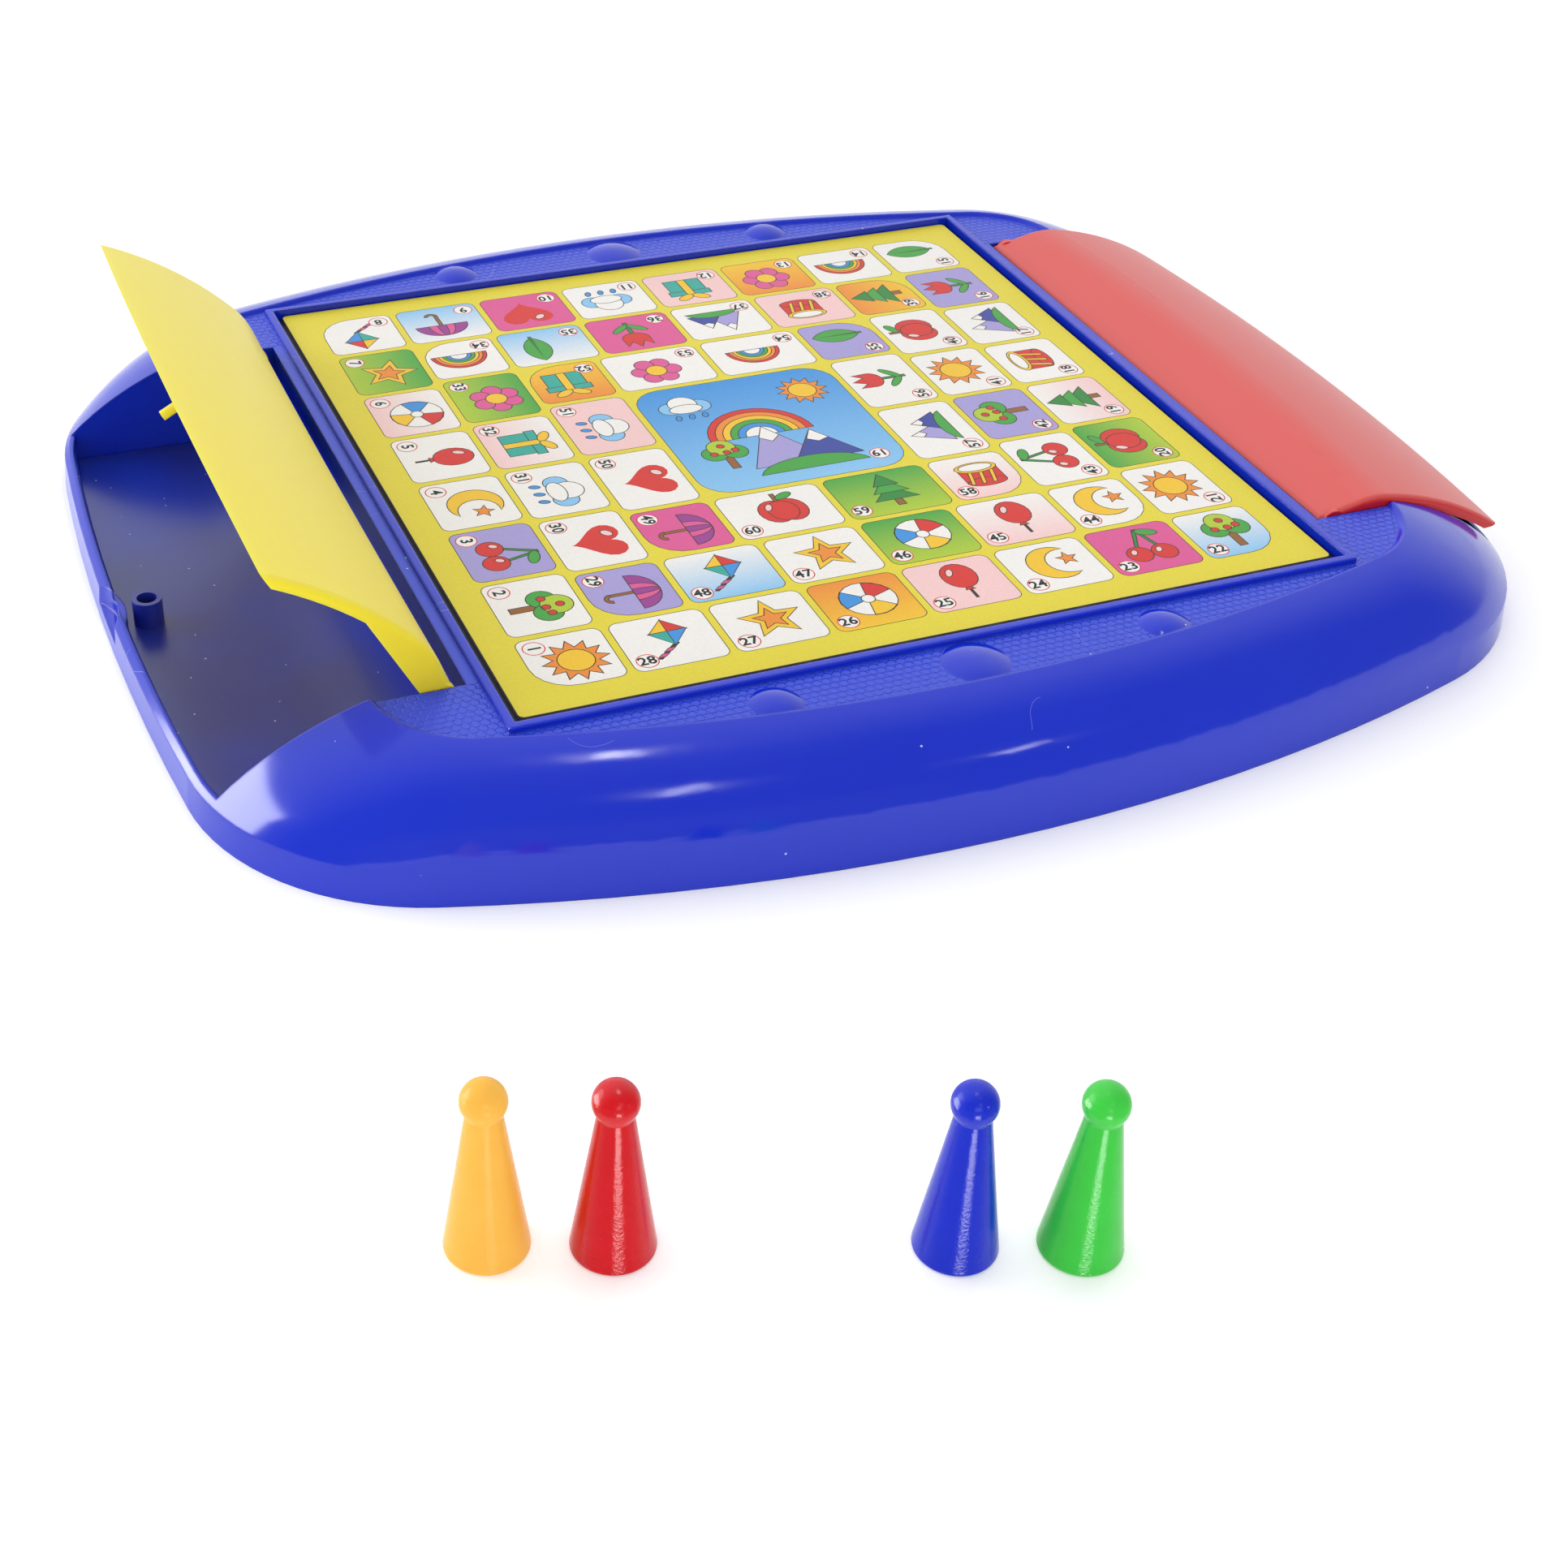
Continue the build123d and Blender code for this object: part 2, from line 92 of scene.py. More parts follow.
class Graph:
    """Short calls for the nodes of one material."""

    def __init__(self, name):
        self.material = bpy.data.materials.new(name)
        self.material.use_nodes = True
        self.tree = self.material.node_tree
        self.shader = self.tree.nodes["Principled BSDF"]

    def put(self, socket, value):
        """Links a socket to another one, or sets its value."""
        if isinstance(value, bpy.types.NodeSocket):
            self.tree.links.new(value, socket)
        else:
            socket.default_value = value

    def node(self, kind, inputs=(), output=0, **settings):
        """One output of a new node; inputs are pairs of socket and value."""
        node = self.tree.nodes.new("ShaderNode" + kind)
        for key, value in settings.items():
            setattr(node, key, value)
        for key, value in inputs:
            self.put(node.inputs[key], value)
        return node.outputs[output]

    def math(self, operation, *values):
        """A step of arithmetic with numbers."""
        return self.node("Math", enumerate(values), operation=operation)

    def vector(self, operation, *values, output=0):
        """A step of arithmetic with vectors."""
        return self.node("VectorMath", enumerate(values), output, operation=operation)

    def step(self, value, low, high, to_low=0, to_high=1):
        """A smooth ramp from one number to another as value goes from low to high."""
        ranges = [(0, value), (1, low), (2, high), (3, to_low), (4, to_high)]
        return self.node("MapRange", ranges, interpolation_type="SMOOTHSTEP")

    def raised(self, base, amount, share):
        """A number raised by a share of an amount."""
        return self.math("ADD", base, self.math("MULTIPLY", share, amount))

    def mix(self, share, first, second):
        """A colour between two others."""
        inputs = [(0, share), (6, first), (7, second)]
        return self.node("Mix", inputs, 2, data_type="RGBA")

    def axes(self, vector):
        """The three numbers of a vector."""
        node = self.tree.nodes.new("ShaderNodeSeparateXYZ")
        self.put(node.inputs[0], vector)
        return node.outputs[:3]

    def place(self):
        """Where a point lies on the piece at rest."""
        return self.node("TexCoord", output="Object")

    def noise(self, size, detail=2):
        """Noise between about 0 and 1 with features of a size in metres."""
        inputs = [("Vector", self.place()), ("Scale", 1 / size), ("Detail", detail)]
        return self.node("TexNoise", inputs, "Fac")

    def bump(self, height, depth, normal=None):
        """A bumped normal; depth is in metres for heights from 0 to 1."""
        inputs = [("Height", height), ("Distance", depth)]
        if normal:
            inputs.append(("Normal", normal))
        return self.node("Bump", inputs)

    def specks(self, spacing, radius, kept_share):
        """1 on small scattered dots: dust and pinholes."""
        cells = self.tree.nodes.new("ShaderNodeTexVoronoi")
        self.put(cells.inputs["Vector"], self.place())
        self.put(cells.inputs["Scale"], 1 / spacing)
        near = self.math("LESS_THAN", cells.outputs["Distance"], radius / spacing)
        kept = self.math("LESS_THAN", self.axes(cells.outputs["Color"])[0], kept_share)
        return self.math("MULTIPLY", near, kept)

    def finish(self, **values):
        """Sets the shader's sockets, named with underscores, and returns the material."""
        for key, value in values.items():
            self.put(self.shader.inputs[key.replace("_", " ")], value)
        return self.material


def dress(node, material):
    """Gives a CAD node its material."""
    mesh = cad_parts[node].data
    mesh.materials.clear()
    mesh.materials.append(material)


# Blue case; dust is a spacing, a radius and the share of specks that is kept
BLUE = "0f30d0"
BLUE_DEEP = "0d2bc6"
# Paler blue of the flat deck: a painted sheen
DECK_SHEEN_BLUE = "2342d8"
DECK_SHEEN_SHARE = 0.9
CASE_CLOUD = 60 * MM
DUST = "c4c9ea"
CASE_DUST = (9 * MM, 0.3 * MM, 0.4)
CASE_DUST_SHARE = 0.9
DECK_LEVEL = 28.8 * MM
LEVEL_ROOM = 0.15 * MM
FLAT_SHARE = 0.996
LID_HALF = 92 * MM
HEX_PITCH = 2.4 * MM
HEX_DEPTH = 0.16 * MM
HEX_FLAT_SHARE = 0.36
HEX_FOOT_SHARE = 0.53
DECK_GRAIN = 0.6 * MM
DECK_GRAIN_DEPTH = 0.04 * MM
EDGE_ROUND = 0.9 * MM
CASE_PEEL = 0.5 * MM
CASE_PEEL_DEPTH = 0.002 * MM
HAIR_BEND = 16 * MM
HAIR_WIDTH_SHARE = 0.0022
HAIR_PATCH = 22 * MM
HAIR_PATCH_LEVEL = 0.68
HAIR_SHARE = 0.3
HAIR_SLOPE = (0.3, 0.8)
GLOSS_ROUGHNESS = 0.1
DECK_ROUGHNESS = 0.28
RUBBED_PATCH = 12 * MM
RUBBED_ROUGHNESS = 0.05


def hex_cells(g, place, pitch):
    """Heights of a field of low six-sided scales."""
    period = (pitch, pitch * math.sqrt(3), 1)
    half = [side / 2 for side in period]
    flat = g.vector("MULTIPLY", place, (1, 1, 0))
    low = [-side for side in half]
    first = g.vector("LENGTH", g.vector("WRAP", flat, half, low), output="Value")
    shifted = g.vector("ADD", flat, (half[0], half[1], 0))
    second = g.vector("LENGTH", g.vector("WRAP", shifted, half, low), output="Value")
    nearest = g.math("MINIMUM", first, second)
    return g.step(nearest, HEX_FLAT_SHARE * pitch, HEX_FOOT_SHARE * pitch, 1, 0)


def hairs(g):
    """1 on a few fine curved lines: hairs and rubbed marks."""
    thin = g.math("COMPARE", g.noise(HAIR_BEND, 0), 0.5, HAIR_WIDTH_SHARE)
    patches = g.math("GREATER_THAN", g.noise(HAIR_PATCH, 0), HAIR_PATCH_LEVEL)
    return g.math("MULTIPLY", thin, patches)


def case_plastic():
    """Glossy blue moulding; the deck is grained, with scales in front of and behind the cards, and is painted
    paler blue as a painted sheen.
    """
    g = Graph("blue_case_plastic")
    place = g.place()
    _, across, height = g.axes(place)
    upward = g.axes(g.node("TexCoord", output="Normal"))[2]
    level = g.math("COMPARE", height, DECK_LEVEL, LEVEL_ROOM)
    deck = g.math("MULTIPLY", level, g.math("GREATER_THAN", upward, FLAT_SHARE))
    past_lids = g.math("GREATER_THAN", g.math("ABSOLUTE", across), LID_HALF)
    scaly = g.math("MULTIPLY", deck, past_lids)
    tone = g.mix(g.noise(CASE_CLOUD), colour(BLUE_DEEP), colour(BLUE))
    # Painted sheen: the flat deck is painted paler blue
    tone = g.mix(g.math("MULTIPLY", deck, DECK_SHEEN_SHARE), tone, colour(DECK_SHEEN_BLUE))
    wear = g.math("MULTIPLY", hairs(g), g.step(upward, *HAIR_SLOPE, 0, HAIR_SHARE))
    dusty = g.math("MAXIMUM", g.math("MULTIPLY", g.specks(*CASE_DUST), CASE_DUST_SHARE), wear)
    edges = g.node("Bevel", [("Radius", EDGE_ROUND)], samples=4)
    peel = g.bump(g.noise(CASE_PEEL), CASE_PEEL_DEPTH, edges)
    grain = g.bump(g.math("MULTIPLY", g.noise(DECK_GRAIN, 3), deck), DECK_GRAIN_DEPTH, peel)
    scales = g.bump(g.math("MULTIPLY", hex_cells(g, place, HEX_PITCH), scaly), HEX_DEPTH, grain)
    smooth = g.step(deck, 0, 1, GLOSS_ROUGHNESS, DECK_ROUGHNESS)
    rough = g.raised(smooth, RUBBED_ROUGHNESS, g.noise(RUBBED_PATCH))
    return g.finish(Base_Color=g.mix(dusty, tone, colour(DUST)), Roughness=rough, Normal=scales)


# Bottom of the case; roughness is a base and what the grain adds
BOTTOM_BLUE = "1230ba"
BOTTOM_GREY = "202c98"
BOTTOM_CLOUD = 70 * MM
BOTTOM_CLOUD_RAMP = (0.35, 0.65)
BOTTOM_ROUGHNESS = (0.2, 0.1)
BOTTOM_GLOSS = 0.75
BOTTOM_DUST = (6 * MM, 0.25 * MM, 0.7)
BOTTOM_DUST_SHARE = 0.6
BOTTOM_GRAIN = 0.35 * MM
BOTTOM_GRAIN_DEPTH = 0.012 * MM


def bottom_plastic():
    """Satin blue moulding of the bottom, a little dusty where pieces are kept."""
    g = Graph("blue_bottom_plastic")
    grain = g.noise(BOTTOM_GRAIN, 3)
    cloud = g.step(g.noise(BOTTOM_CLOUD), *BOTTOM_CLOUD_RAMP)
    tone = g.mix(cloud, colour(BOTTOM_BLUE), colour(BOTTOM_GREY))
    dusty = g.math("MULTIPLY", g.specks(*BOTTOM_DUST), BOTTOM_DUST_SHARE)
    return g.finish(
        Base_Color=g.mix(dusty, tone, colour(DUST)),
        Roughness=g.raised(*BOTTOM_ROUGHNESS, grain),
        Specular_IOR_Level=BOTTOM_GLOSS,
        Normal=g.bump(grain, BOTTOM_GRAIN_DEPTH),
    )


# Lids: face colour with a painted sheen, edge colour (the plastic's own, left where the painted sheen falls
# off), size and depth of the grain, gloss and glow
LIDS = {
    "yellow_lid": ("f5e556", "f7e434", 0.5 * MM, 0.01 * MM, 0.25, 0.6),
    "red_lid": ("dc5450", "d81e24", 0.35 * MM, 0.012 * MM, 0.5, 0),
}
# Where a lid's painted sheen falls off: rounded edges and sideways-facing skirts
LID_EDGE_ROUND = 1.4 * MM
LID_SHEEN_EDGE_RAMP = (0.8, 0.995)
LID_SHEEN_SKIRT_RAMP = (0.7, 0.95)
LID_CLOUD = 30 * MM
LID_CLOUD_SHARE = 0.12
LID_MARKS = (11 * MM, 0.2 * MM, 0.5)
LID_MARK = "ffffff"
LID_MARK_SHARE = 0.35
LID_ROUGHNESS = (0.32, 0.1)
LID_GLOW_REACH = (1, 0.8, 0.3)
LID_GLOW_DEPTH = 2 * MM


def lid_plastic(name, face, edge, grain_size, grain_depth, gloss, glow):
    """Satin moulding with a painted sheen: its face colour is paler, falling off to the deeper edge colour
    along its edges and on its end skirts.
    """
    g = Graph(name)
    # Painted sheen: the face is painted paler and falls off to the deeper colour on edges and sideways-facing
    # skirts
    bevelled = g.node("Bevel", [("Radius", LID_EDGE_ROUND)], samples=6)
    flat_normal = g.node("NewGeometry", output="Normal")
    rounded_share = g.vector("DOT_PRODUCT", bevelled, flat_normal, output="Value")
    edges = g.step(rounded_share, *LID_SHEEN_EDGE_RAMP, 1, 0)
    sideways = g.math("ABSOLUTE", g.axes(g.node("TexCoord", output="Normal"))[1])
    sheen_falloff = g.math("MAXIMUM", edges, g.step(sideways, *LID_SHEEN_SKIRT_RAMP))
    cloud = g.math("MULTIPLY", g.noise(LID_CLOUD), LID_CLOUD_SHARE)
    grain = g.noise(grain_size, 3)
    marks = g.math("MULTIPLY", g.specks(*LID_MARKS), LID_MARK_SHARE)
    # The pale face colour is a painted sheen; the deeper edge colour shows where it falls off
    tone = g.mix(g.math("MAXIMUM", sheen_falloff, cloud), colour(face), colour(edge))
    return g.finish(
        Base_Color=g.mix(marks, tone, colour(LID_MARK)),
        Roughness=g.raised(*LID_ROUGHNESS, grain),
        Specular_IOR_Level=gloss,
        Subsurface_Weight=glow,
        Subsurface_Radius=LID_GLOW_REACH,
        Subsurface_Scale=LID_GLOW_DEPTH,
        Normal=g.bump(grain, grain_depth),
    )


# Pawns: colour, shade, glow and gloss
PAWNS = {
    "yellow_pawn": ("ffc556", "ffbb4b", 0.35, 0.15),
    "red_pawn": ("dc081a", "ce0616", 0.1, 0.7),
    "blue_pawn": ("0e2cd0", "0b26c0", 0.05, 0.7),
    "green_pawn": ("42d248", "3ac740", 0.2, 0.7),
}
PAWN_CLOUD = 6 * MM
PAWN_PEEL = 0.6 * MM
PAWN_PEEL_DEPTH = 0.05 * MM
PAWN_RUBBED_PATCH = 2 * MM
PAWN_ROUGHNESS = (0.14, 0.14)
PAWN_INNER_GLOSS = 0.08
PAWN_GLOW_REACH = (1, 0.6, 0.4)
PAWN_GLOW_DEPTH = 1.5 * MM
PAWN_COAT_ROUGHNESS = 0.126
TURNED_SLOPE = 0.36


def pawn_plastic(name, base, shade, glow, gloss):
    """Waxy moulding; the fine turned steps of its mould tilt the gloss upwards."""
    g = Graph(name)
    tone = g.mix(g.noise(PAWN_CLOUD), colour(shade), colour(base))
    peel = g.bump(g.noise(PAWN_PEEL, 3), PAWN_PEEL_DEPTH)
    steps = g.math("MULTIPLY", g.axes(g.place())[2], -TURNED_SLOPE)
    return g.finish(
        Base_Color=tone,
        Roughness=g.raised(*PAWN_ROUGHNESS, g.noise(PAWN_RUBBED_PATCH)),
        Specular_IOR_Level=PAWN_INNER_GLOSS,
        Normal=peel,
        Coat_Weight=gloss,
        Coat_Roughness=PAWN_COAT_ROUGHNESS,
        Coat_Normal=g.bump(steps, 1, peel),
        Subsurface_Weight=glow,
        Subsurface_Radius=PAWN_GLOW_REACH,
        Subsurface_Scale=PAWN_GLOW_DEPTH,
    )


# Dice
DIE_HALF = 7 * MM
DIE_ROUND = 2 * MM
PIP_ROOM = 0.02 * MM
DIE_TURNS = {"die_1": 18, "die_2": -27}
IVORY = "f4f1e8"
IVORY_SHADE = "e9e4d6"
IVORY_CLOUD = 4 * MM
PIP_INK = "141416"
DIE_ROUGHNESS = 0.24
DIE_PEEL = 1.2 * MM
DIE_PEEL_DEPTH = 0.02 * MM


def die_plastic(node, turn):
    """Ivory moulding with black pips; a pip is what lies below a face, away from the rounded edges."""
    g = Graph(node + "_plastic")
    low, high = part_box(node)
    centred = g.vector("SUBTRACT", g.place(), (low + high) / 2)
    rotation = [("Vector", centred), ("Rotation", (0, 0, math.radians(-turn)))]
    sizes = g.axes(g.vector("ABSOLUTE", g.node("Mapping", rotation)))
    most = g.math("MAXIMUM", g.math("MAXIMUM", sizes[0], sizes[1]), sizes[2])
    least = g.math("MINIMUM", g.math("MINIMUM", sizes[0], sizes[1]), sizes[2])
    total = g.math("ADD", g.math("ADD", sizes[0], sizes[1]), sizes[2])
    middle = g.math("SUBTRACT", g.math("SUBTRACT", total, most), least)
    below = g.math("LESS_THAN", most, DIE_HALF - PIP_ROOM)
    inner = g.math("LESS_THAN", middle, DIE_HALF - DIE_ROUND)
    tone = g.mix(g.noise(IVORY_CLOUD), colour(IVORY_SHADE), colour(IVORY))
    inked = g.mix(g.math("MULTIPLY", below, inner), tone, colour(PIP_INK))
    peel = g.bump(g.noise(DIE_PEEL), DIE_PEEL_DEPTH)
    return g.finish(Base_Color=inked, Roughness=DIE_ROUGHNESS, Normal=peel)


# Screws
ZINC = "c9c6bd"
ZINC_SHADE = "a9abb0"
ZINC_CLOUD = 1.5 * MM
TURNING_MARK = 0.4 * MM
TURNING_RAMP = (0.3, 0.7)
ZINC_ROUGHNESS = (0.25, 0.5)
ZINC_GRAIN = 0.3 * MM
ZINC_GRAIN_DEPTH = 0.02 * MM


def screw_steel():
    """Bright zinc with turning marks."""
    g = Graph("screw_steel")
    rough = g.step(g.noise(TURNING_MARK, 4), *TURNING_RAMP, *ZINC_ROUGHNESS)
    tone = g.mix(g.noise(ZINC_CLOUD), colour(ZINC_SHADE), colour(ZINC))
    grain = g.bump(g.noise(ZINC_GRAIN), ZINC_GRAIN_DEPTH)
    return g.finish(Base_Color=tone, Metallic=1, Roughness=rough, Normal=grain)


# Cards
SCREEN_DOT = 0.35 * MM
INK_CLOUD = 50 * MM
INK_RAMP = (0.2, 0.8)
SCREEN_SHADE = (0.94, 1.03)
CLOUD_SHADE = (0.97, 1.02)
COATING_ROUGHNESS = (0.34, 0.1)
COATING_GLOSS = 0.2
COATING_PATCH = 3 * MM
BOARD_GRAIN = 1.5 * MM
BOARD_GRAIN_DEPTH = 0.012 * MM


def card_print():
    """Coated board: printed colours with a fine screen and a faint board texture."""
    g = Graph("card_print")
    ink = g.node("Attribute", output="Color", attribute_name="print")
    screen = g.step(g.noise(SCREEN_DOT, 1), *INK_RAMP, *SCREEN_SHADE)
    cloud = g.step(g.noise(INK_CLOUD), *INK_RAMP, *CLOUD_SHADE)
    shade = g.math("MULTIPLY", screen, cloud)
    tone = g.node("VectorMath", [(0, ink), ("Scale", shade)], operation="SCALE")
    rough = g.raised(*COATING_ROUGHNESS, g.noise(COATING_PATCH))
    board = g.bump(g.noise(BOARD_GRAIN, 3), BOARD_GRAIN_DEPTH)
    return g.finish(Base_Color=tone, Roughness=rough, Specular_IOR_Level=COATING_GLOSS, Normal=board)


# Printed colours
PRINT = {
    "yellow": "e6d63c",
    "ink": "3a3322",
    "black": "1d1c1c",
    "white": "f3f0ec",
    "pink": "f5cccb",
    "sky": "8cc6f0",
    "blue": "3f93dd",
    "navy": "3b4aa0",
    "green": "46a544",
    "leaf": "2f8a3c",
    "lime": "b2cc37",
    "orange": "ee8f35",
    "gold": "f4c52f",
    "red": "d9342e",
    "magenta": "de5a97",
    "purple": "9a3d93",
    "lavender": "a99fd8",
    "teal": "35ab9d",
    "brown": "96602f",
    "stock": "8f8a7c",
    "slate": "2b2c30",
    "cream": "e6dfc8",
}

# Printing: lengths in millimetres, and how finely outlines are drawn
CARD_CORNER = 1.5
INK_LINE = 0.28
CUT_ROOM = 1e-5
INSIDE_ONLY = 1
LEAST_PATCH = 0.002
OVAL_POINTS = 18
CORNER_STEPS = 5
SHARP_CORNER = 0.35
HEART_POINTS = 28
HEART_SIZE = 17
HEART_LIFT = 2


def arc(x, y, reach_x, reach_y, start, end, count):
    """Points along part of an oval, angles in degrees."""
    angles = [math.radians(start + (end - start) * i / count) for i in range(count + 1)]
    return [(x + reach_x * math.cos(a), y + reach_y * math.sin(a)) for a in angles]


def oval(x, y, reach_x, reach_y=None, turn=0):
    """A whole oval or circle, turned about its middle."""
    points = arc(0, 0, reach_x, reach_y or reach_x, 0, 360, OVAL_POINTS)[:-1]
    return moved(points, (x, y), turn)


def star(x, y, outer, inner, points, turn=90):
    """A star with a number of points."""
    step = 180 / points
    angles = [math.radians(turn + step * i) for i in range(2 * points)]
    reaches = [outer, inner] * points
    return [(x + r * math.cos(a), y + r * math.sin(a)) for r, a in zip(reaches, angles)]


def slab(left, bottom, right, top):
    """An upright rectangle."""
    return [(left, bottom), (right, bottom), (right, top), (left, top)]


def rounded(width, depth, radii):
    """A rectangle about the origin with its own radius at each corner, from lower left, anticlockwise."""
    x, y = width / 2, depth / 2
    points = []
    for quarter, (x_sign, y_sign) in enumerate(((-1, -1), (1, -1), (1, 1), (-1, 1))):
        radius = radii[quarter]
        start = 180 + 90 * quarter
        middle = (x_sign * (x - radius), y_sign * (y - radius))
        points += arc(*middle, radius, radius, start, start + 90, CORNER_STEPS)
    return points


def moved(points, place, turn=0, scale=1):
    """Points turned about the origin, scaled and shifted."""
    c, s = math.cos(math.radians(turn)), math.sin(math.radians(turn))
    return [(place[0] + scale * (c * x - s * y), place[1] + scale * (s * x + c * y)) for x, y in points]


def turned_area(points):
    """Twice the area of an outline, negative if it runs clockwise."""
    return sum(a[0] * b[1] - b[0] * a[1] for a, b in zip(points, points[1:] + points[:1]))


def anticlockwise(points):
    """An outline that runs anticlockwise; none if it has next to no area."""
    area = turned_area(points)
    if abs(area) < LEAST_PATCH:
        return None
    return points if area > 0 else points[::-1]


def holds(points, spot):
    """Whether an outline goes round a spot."""
    inside = False
    for (x1, y1), (x2, y2) in zip(points, points[1:] + points[:1]):
        if (y1 > spot.y) != (y2 > spot.y) and spot.x < x1 + (spot.y - y1) * (x2 - x1) / (y2 - y1):
            inside = not inside
    return inside


def grown(points, amount):
    """An outline pushed outwards by an amount."""
    loop = [Vector(p) for p in points]
    sign = 1 if turned_area(points) > 0 else -1
    result = []
    for before, here, after in zip(loop[-1:] + loop[:-1], loop, loop[1:] + loop[:1]):
        first = (here - before).normalized()
        second = (after - here).normalized()
        normals = [Vector((d.y, -d.x)) * sign for d in (first, second)]
        push = (normals[0] + normals[1]) / max(SHARP_CORNER, 1 + normals[0].dot(normals[1]))
        result.append(tuple(here + push * amount))
    return result


def flat(name):
    """One printed colour."""
    value = colour(PRINT[name])
    return lambda point: value


def fade(low, high, reach):
    """A printed colour that changes from the bottom of a cell to its top."""
    first, last = (Vector(colour(PRINT[name])) for name in (low, high))
    return lambda point: tuple(first.lerp(last, min(1, max(0, 0.5 + point[1] / (2 * reach)))))


def heart():
    """A heart in unit size."""
    points = []
    for i in range(HEART_POINTS):
        t = 2 * math.pi * i / HEART_POINTS
        x = 16 * math.sin(t) ** 3
        y = 13 * math.cos(t) - 5 * math.cos(2 * t) - 2 * math.cos(3 * t) - math.cos(4 * t)
        points.append((-x / HEART_SIZE, (y + HEART_LIFT) / HEART_SIZE))
    return points


def half_ring(radius, base=-0.45):
    """A half disc that stands on a line."""
    return arc(0, base, radius, radius, 0, 180, 16)


def petals(count, reach, size):
    """Round petals about the origin."""
    turns = [2 * math.pi * i / count for i in range(count)]
    return [oval(reach * math.cos(t), reach * math.sin(t), size) for t in turns]


def sector(radius, start, end):
    """A slice of a disc."""
    return [(0, 0), *arc(0, 0, radius, radius, start, end, 5)]


